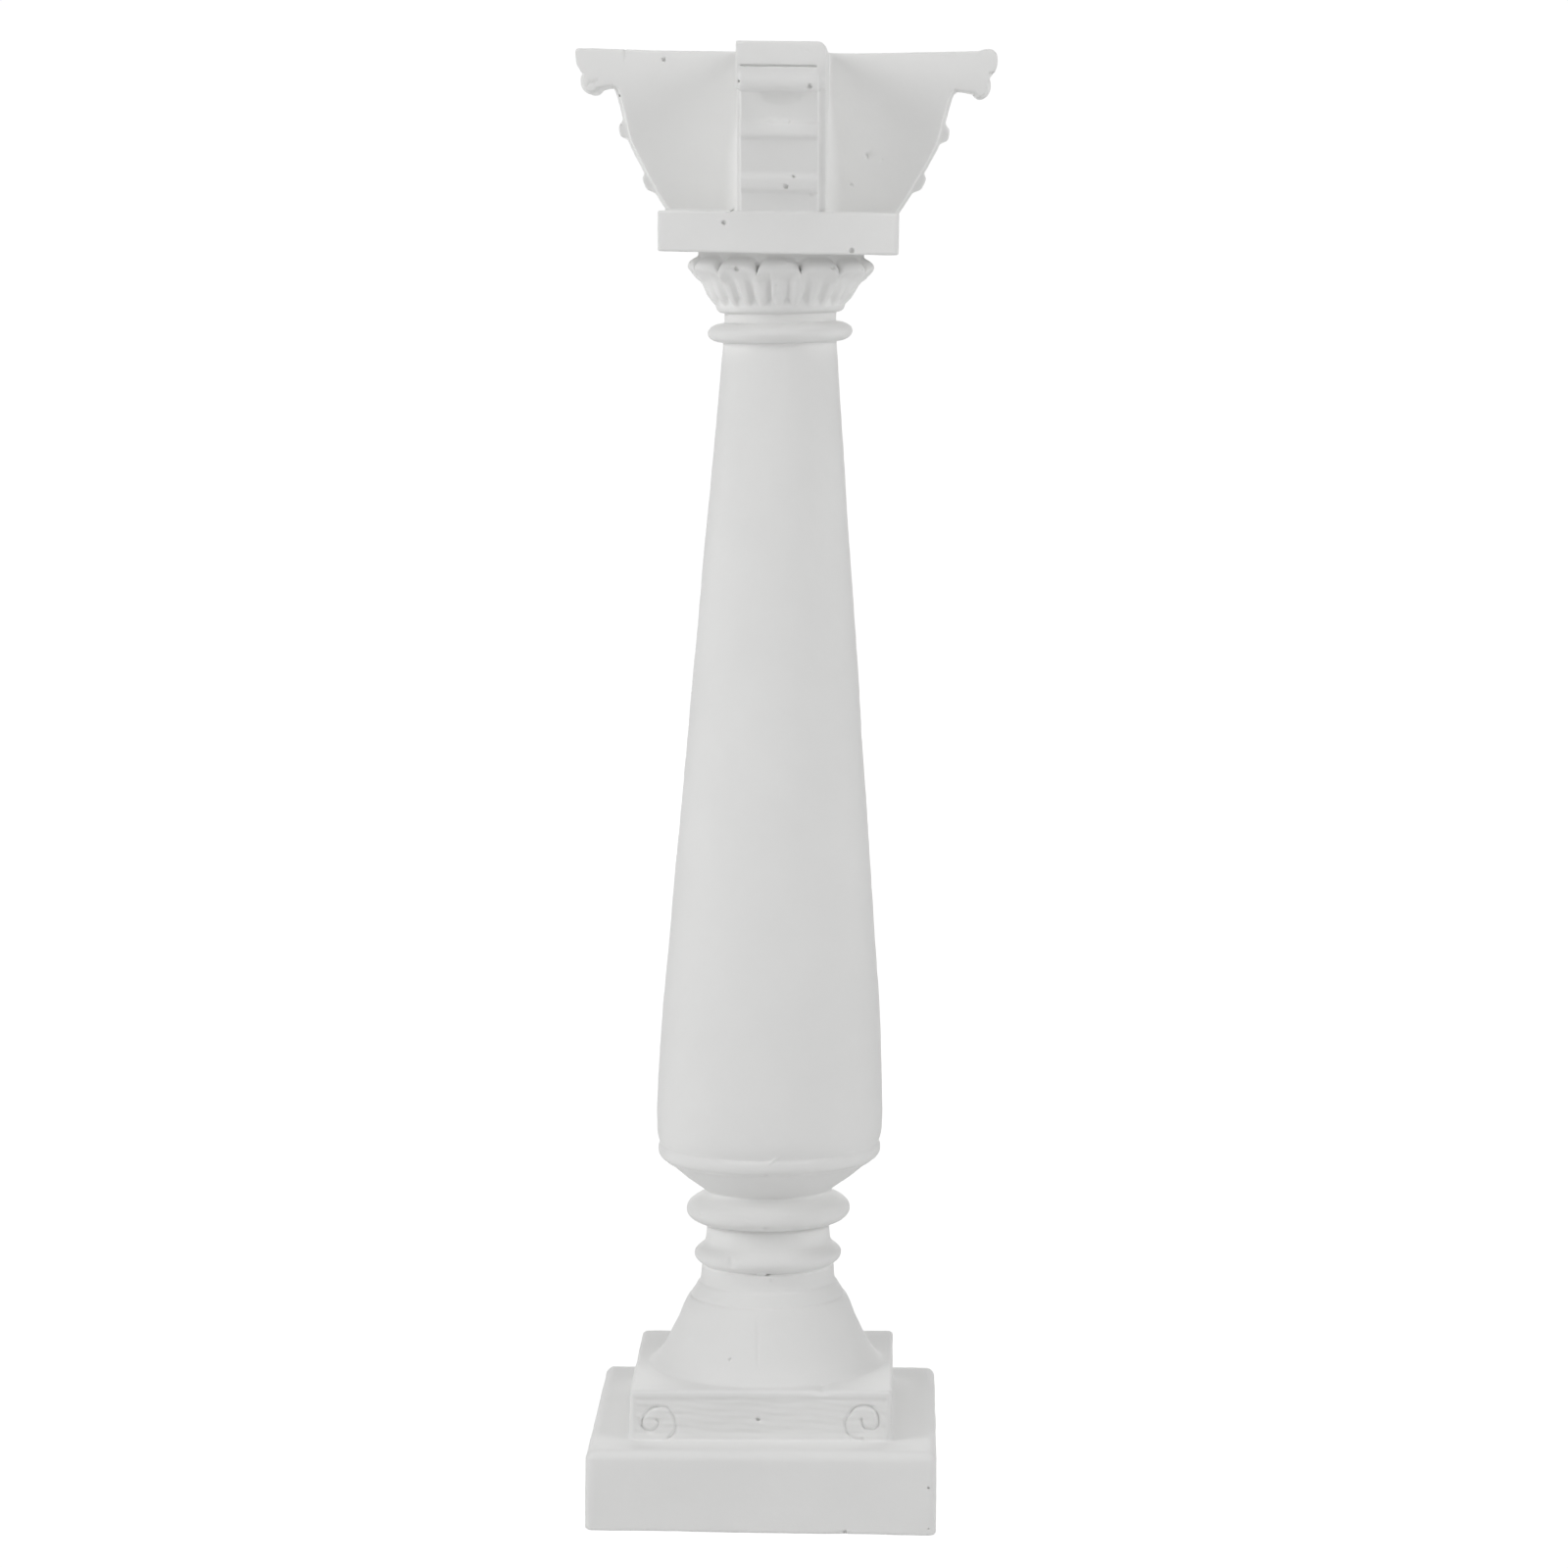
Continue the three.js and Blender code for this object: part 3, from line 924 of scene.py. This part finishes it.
@dataclass
class Mesher:
    """Turns the casting into a mesh.

    Attributes:
        pitch: distance between two sample points.
        block: number of sample points along a side of a block.
        target: number of triangles to keep.
        low, high: lowest and highest corner of the sampled space.
    """

    pitch: float
    block: int = 5
    target: int = 190_000
    low: tuple[float, float, float] = (-29.6, -29.6, -1.07)
    high: tuple[float, float, float] = (29.6, 29.6, 201.0)

    # A block is sampled if its middle lies nearer the surface than these two allow.
    HALF_DIAGONAL = 0.87
    MARGIN = 0.55
    CHUNK = 4000
    TOLERANCE = 1e-4
    SLOPE_STEP = 0.02
    LEAST_SLOPE = 0.25
    LONGEST_MOVE = 0.06

    def sample(self, casting: Casting, low: Array, count: Array) -> Array:
        """Samples the distance densely near the surface and roughly elsewhere.

        Args:
            casting: what to sample.
            low: lowest corner.
            count: number of blocks along each axis.

        Returns:
            The dense grid of distances.
        """
        size = self.pitch * self.block
        axes = [low[i] + size * (np.arange(count[i]) + 0.5) for i in range(3)]
        gx, gy, gz = (g.astype(np.float32).ravel() for g in np.meshgrid(*axes, indexing="ij"))
        rough = casting.distance(gx, gy, gz)
        active = np.flatnonzero(np.abs(rough) < size * self.HALF_DIAGONAL + self.MARGIN)
        dense = np.where(rough.reshape(count) > 0, np.float32(1), np.float32(-1))
        for axis in range(3):
            dense = np.repeat(dense, self.block, axis)
        view = dense.reshape([n for c in count for n in (c, self.block)])
        steps = self.pitch * (np.arange(self.block) + 0.5) - size / 2
        sx, sy, sz = (s.astype(np.float32).ravel() for s in np.meshgrid(steps, steps, steps, indexing="ij"))
        for start in range(0, len(active), self.CHUNK):
            ids = active[start:start + self.CHUNK]
            x = (gx[ids, None] + sx).ravel()
            y = (gy[ids, None] + sy).ravel()
            z = (gz[ids, None] + sz).ravel()
            values = np.clip(casting.distance(x, y, z), -1.0, 1.0)
            bi, bj, bk = np.unravel_index(ids, count)
            view[bi, :, bj, :, bk, :] = values.reshape(-1, self.block, self.block, self.block)
        return dense

    def build(self, casting: Casting, name: str) -> bpy.types.Object:
        """Builds the finished mesh object.

        Args:
            casting: the shape.
            name: name of the new object.

        Returns:
            The object, in metres.
        """
        size = self.pitch * self.block
        low = np.array(self.low)
        count = np.ceil((np.array(self.high) - low) / size).astype(int)
        grid = openvdb.FloatGrid(1.0)
        grid.copyFromArray(self.sample(casting, low, count), tolerance=self.TOLERANCE)
        vertices, quads = grid.convertToQuads(0.0)
        LOG.info("meshed %d quads", len(quads))
        mesh = new_mesh(name, vertices * self.pitch + low + self.pitch / 2, quads[:, ::-1])
        obj = bpy.data.objects.new(name, mesh)
        bpy.context.scene.collection.objects.link(obj)
        thin = obj.modifiers.new("thin", "DECIMATE")
        thin.ratio = min(1.0, self.target / (2 * len(quads)))
        graph = bpy.context.evaluated_depsgraph_get()
        obj.data = bpy.data.meshes.new_from_object(obj.evaluated_get(graph))
        obj.modifiers.clear()
        obj.data.name = name
        self.draw_back(obj.data, casting)
        obj.data.transform(Matrix.Scale(MM, 4))
        obj.data.shade_smooth()
        return obj

    def draw_back(self, mesh: bpy.types.Mesh, casting: Casting) -> None:
        """Moves the vertices onto the exact surface.

        Args:
            mesh: the mesh.
            casting: the shape.
        """
        flat = np.empty(len(mesh.vertices) * 3, np.float32)
        mesh.vertices.foreach_get("co", flat)
        place = flat.reshape(-1, 3)
        step = self.SLOPE_STEP
        for _ in range(2):
            x, y, z = (np.ascontiguousarray(place[:, i]) for i in range(3))
            here = casting.distance(x, y, z)
            slope = np.stack([
                casting.distance(x + step, y, z) - casting.distance(x - step, y, z),
                casting.distance(x, y + step, z) - casting.distance(x, y - step, z),
                casting.distance(x, y, z + step) - casting.distance(x, y, z - step),
            ], 1) / (2 * step)
            length = np.maximum((slope ** 2).sum(1), self.LEAST_SLOPE)
            move = np.clip(here / length, -self.LONGEST_MOVE, self.LONGEST_MOVE)
            place -= move[:, None] * slope
        mesh.vertices.foreach_set("co", place.ravel())
        mesh.update()


def new_mesh(name: str, vertices: Array, faces: Array) -> bpy.types.Mesh:
    """A mesh from arrays.

    Args:
        name: name of the mesh.
        vertices: places, one row each.
        faces: corner numbers, one row for each face.

    Returns:
        The new mesh.
    """
    mesh = bpy.data.meshes.new(name)
    count, corners = faces.shape
    mesh.vertices.add(len(vertices))
    mesh.vertices.foreach_set("co", vertices.astype(np.float32).ravel())
    mesh.loops.add(count * corners)
    mesh.loops.foreach_set("vertex_index", faces.astype(np.int32).ravel())
    mesh.polygons.add(count)
    mesh.polygons.foreach_set("loop_start", np.arange(0, count * corners, corners, dtype=np.int32))
    mesh.update(calc_edges=True)
    mesh.validate()
    return mesh


def linear(code: str) -> tuple[float, float, float, float]:
    """Turns an sRGB hex code into a linear colour with alpha."""
    parts = [int(code[i:i + 2], 16) / 255 for i in (1, 3, 5)]
    return (*(c / 12.92 if c <= 0.04045 else ((c + 0.055) / 1.055) ** 2.4 for c in parts), 1.0)


def add_node(tree: bpy.types.NodeTree, kind: str, settings: dict | None = None,
             links: dict | None = None) -> bpy.types.Node:
    """Adds a node.

    Args:
        tree: the tree that it goes into.
        kind: its type.
        settings: values of its properties and, for names of inputs, of its sockets.
        links: for names of inputs, the output sockets that feed them.

    Returns:
        The new node.
    """
    node = tree.nodes.new(kind)
    for name, value in (settings or {}).items():
        if name in node.inputs:
            node.inputs[name].default_value = value
        else:
            setattr(node, name, value)
    for name, source in (links or {}).items():
        tree.links.new(source, node.inputs[name])
    return node


@dataclass(frozen=True)
class CastPlaster:
    """White gypsum plaster as it leaves a rubber mould: a dry, chalky white without any gloss.

    Attributes:
        white: main colour.
        shade: colour of the slightly damper, greyer patches.
        patch_mm: size of the patches.
        grain_mm: size of the grain; the real grain is finer, and this is the coarsest that reads.
        grain_height_mm: height of the grain.
        roughness: mean roughness.
        roughness_spread: how far it wanders with the grain.
        ior: gypsum's index of refraction.
        specular: strength of the reflection, low because the surface is open and dusty.
    """

    white: str = "#eeeeed"
    shade: str = "#e6e6e5"
    patch_mm: float = 16.0
    grain_mm: float = 0.55
    grain_height_mm: float = 0.012
    roughness: float = 0.82
    roughness_spread: float = 0.06
    ior: float = 1.52
    specular: float = 0.25

    def material(self) -> bpy.types.Material:
        """Builds the material.

        Returns:
            The new material.
        """
        material = bpy.data.materials.new("cast_plaster")
        material.use_nodes = True
        tree = material.node_tree
        tree.nodes.clear()
        place = add_node(tree, "ShaderNodeTexCoord").outputs["Object"]
        patches = add_node(tree, "ShaderNodeTexNoise", {
            "Scale": 1 / (self.patch_mm * MM), "Detail": 3.0, "Roughness": 0.55,
        }, {"Vector": place})
        colour = add_node(tree, "ShaderNodeMix", {"data_type": "RGBA"})
        colour.inputs[6].default_value = linear(self.shade)
        colour.inputs[7].default_value = linear(self.white)
        tree.links.new(patches.outputs["Fac"], colour.inputs[0])
        grain = add_node(tree, "ShaderNodeTexNoise", {
            "Scale": 1 / (self.grain_mm * MM), "Detail": 2.0, "Roughness": 0.6,
        }, {"Vector": place})
        bump = add_node(tree, "ShaderNodeBump", {
            "Strength": 1.0, "Distance": self.grain_height_mm * MM,
        }, {"Height": grain.outputs["Fac"]})
        rough = add_node(tree, "ShaderNodeMapRange", {
            "To Min": self.roughness - self.roughness_spread,
            "To Max": self.roughness + self.roughness_spread,
        }, {"Value": grain.outputs["Fac"]})
        shader = add_node(tree, "ShaderNodeBsdfPrincipled", {
            "IOR": self.ior, "Specular IOR Level": self.specular,
        }, {
            "Base Color": colour.outputs[2],
            "Roughness": rough.outputs["Result"],
            "Normal": bump.outputs["Normal"],
        })
        add_node(tree, "ShaderNodeOutputMaterial", {}, {"Surface": shader.outputs["BSDF"]})
        return material


@dataclass(frozen=True)
class PhotoCamera:
    """The camera at the photograph's viewing angle.

    Attributes:
        place: where it stands, in millimetres.
        yaw, pitch, roll: turn to the left, tilt down and turn about its line of sight, in degrees.
        focal_px: focal length, in pixels of the photo.
        clip_start_m: distance at which its view begins.
    """

    place: tuple[float, float, float] = (15.95, -652.9, 177.26)
    yaw: float = 1.29
    pitch: float = 6.784
    roll: float = 0.55
    focal_px: float = 4859
    clip_start_m: float = 0.01

    def build(self) -> None:
        """Adds the camera to the scene."""
        data = bpy.data.cameras.new("photo_camera")
        data.lens = self.focal_px / PHOTO_WIDTH_PX * SENSOR_MM
        data.sensor_width = SENSOR_MM
        data.clip_start = self.clip_start_m
        camera = bpy.data.objects.new("photo_camera", data)
        bpy.context.scene.collection.objects.link(camera)
        turn = (Matrix.Rotation(math.radians(self.yaw), 4, "Z")
                @ Matrix.Rotation(math.radians(90 - self.pitch), 4, "X")
                @ Matrix.Rotation(math.radians(self.roll), 4, "Z"))
        camera.matrix_world = Matrix.Translation(Vector(self.place) * MM) @ turn
        bpy.context.scene.camera = camera


@dataclass(frozen=True)
class Softbox:
    """A square soft light, aimed at the upper shaft of the column.

    Attributes:
        name: its name.
        azimuth, elevation: where it stands, in degrees to the right of the front and up.
        power: strength, in watts.
        size, away: width and distance from the shaft, in metres.
        aim: height at which it is aimed, as a share of the column's.
    """

    name: str
    azimuth: float
    elevation: float
    power: float
    size: float = 0.7
    away: float = 1.0
    aim: float = 0.7

    def build(self) -> None:
        """Adds the light to the scene."""
        data = bpy.data.lights.new(self.name, "AREA")
        data.size = self.size
        data.energy = self.power
        light = bpy.data.objects.new(self.name, data)
        bpy.context.scene.collection.objects.link(light)
        turn = Matrix.Rotation(math.radians(self.azimuth), 4, "Z")
        tip = Matrix.Rotation(math.radians(-self.elevation), 4, "X")
        outward = turn @ tip @ Vector((0.0, -self.away, 0.0))
        place = Matrix.Translation(outward + Vector((0.0, 0.0, self.aim * HEIGHT * MM)))
        light.matrix_world = place @ outward.to_track_quat("Z", "Y").to_matrix().to_4x4()


@dataclass(frozen=True)
class Studio:
    """White table, white tent and soft lights around.

    Attributes:
        sky, backdrop: brightness of the tent as the column and as the camera sees it.
        floor_glow: brightness of the table's own light, as on a light table.
        floor_lift, floor_spill: that light's share, as the camera and as the column sees it.
        floor_white: colour of the table.
        floor_size: its width, in metres.
        softboxes: the lights.
    """

    sky: float = 0.035
    backdrop: float = 1.02
    floor_glow: float = 1.08
    floor_lift: float = 0.94
    floor_spill: float = 0.17
    floor_white: str = "#e2e2e2"
    floor_size: float = 30.0
    softboxes: tuple[Softbox, ...] = (
        Softbox("left_softbox", -60.0, 22.0, 2.02, 0.36, 0.75),
        Softbox("right_softbox", 60.0, 22.0, 1.85, 0.36, 0.75),
        Softbox("left_panel", -85.0, 10.0, 1.98),
        Softbox("right_panel", 90.0, 15.0, 1.15),
        Softbox("top_panel", 0.0, 76.0, 2.95),
        Softbox("front_panel", 0.0, -4.0, 1.8),
        Softbox("back_panel", 180.0, 5.0, 8.0),
    )

    def tent(self) -> bpy.types.World:
        """Builds the world: an even white, brighter where the camera looks at it.

        Returns:
            The new world.
        """
        world = bpy.data.worlds.new("white_tent")
        world.use_nodes = True
        tree = world.node_tree
        tree.nodes.clear()
        path = add_node(tree, "ShaderNodeLightPath")
        seen = add_node(tree, "ShaderNodeBackground", {"Color": WHITE, "Strength": self.backdrop})
        lit = add_node(tree, "ShaderNodeBackground", {"Color": WHITE, "Strength": self.sky})
        mix = add_node(tree, "ShaderNodeMixShader", {}, {
            0: path.outputs["Is Camera Ray"], 1: lit.outputs[0], 2: seen.outputs[0],
        })
        add_node(tree, "ShaderNodeOutputWorld", {}, {"Surface": mix.outputs[0]})
        return world

    def table_top(self) -> bpy.types.Material:
        """Builds the table's material: a matt white that goes nearly pure white for the camera.

        Returns:
            The new material.
        """
        material = bpy.data.materials.new("lit_white_table")
        material.use_nodes = True
        tree = material.node_tree
        tree.nodes.clear()
        path = add_node(tree, "ShaderNodeLightPath")
        lift = add_node(tree, "ShaderNodeMapRange", {
            "To Min": self.floor_spill, "To Max": self.floor_lift,
        }, {"Value": path.outputs["Is Camera Ray"]})
        matt = add_node(tree, "ShaderNodeBsdfDiffuse", {"Color": linear(self.floor_white)})
        glow = add_node(tree, "ShaderNodeEmission", {"Color": WHITE, "Strength": self.floor_glow})
        mix = add_node(tree, "ShaderNodeMixShader", {}, {
            0: lift.outputs[0], 1: matt.outputs[0], 2: glow.outputs[0],
        })
        add_node(tree, "ShaderNodeOutputMaterial", {}, {"Surface": mix.outputs[0]})
        return material

    def build(self) -> None:
        """Adds table, tent and lights."""
        scene = bpy.context.scene
        scene.view_settings.view_transform = "Standard"
        scene.world = self.tent()
        half = self.floor_size / 2
        corners = half * np.array([(-1, -1, 0), (1, -1, 0), (1, 1, 0), (-1, 1, 0)])
        floor = bpy.data.objects.new("floor", new_mesh("floor", corners, np.array([(0, 1, 2, 3)])))
        scene.collection.objects.link(floor)
        floor.data.materials.append(self.table_top())
        for softbox in self.softboxes:
            softbox.build()


def main() -> None:
    """Builds the scene: camera, casting, studio."""
    PhotoCamera().build()
    casting = Casting()
    casting.burst_bubbles(PINHOLES)
    column = Mesher(FINE_PITCH).build(casting, "column_casting")
    column.data.materials.clear()
    column.data.materials.append(CastPlaster().material())
    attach(column, "root")
    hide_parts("column")
    LOG.info("%s: %d faces", column.name, len(column.data.polygons))
    Studio().build()


if __name__ == "__main__":
    main()
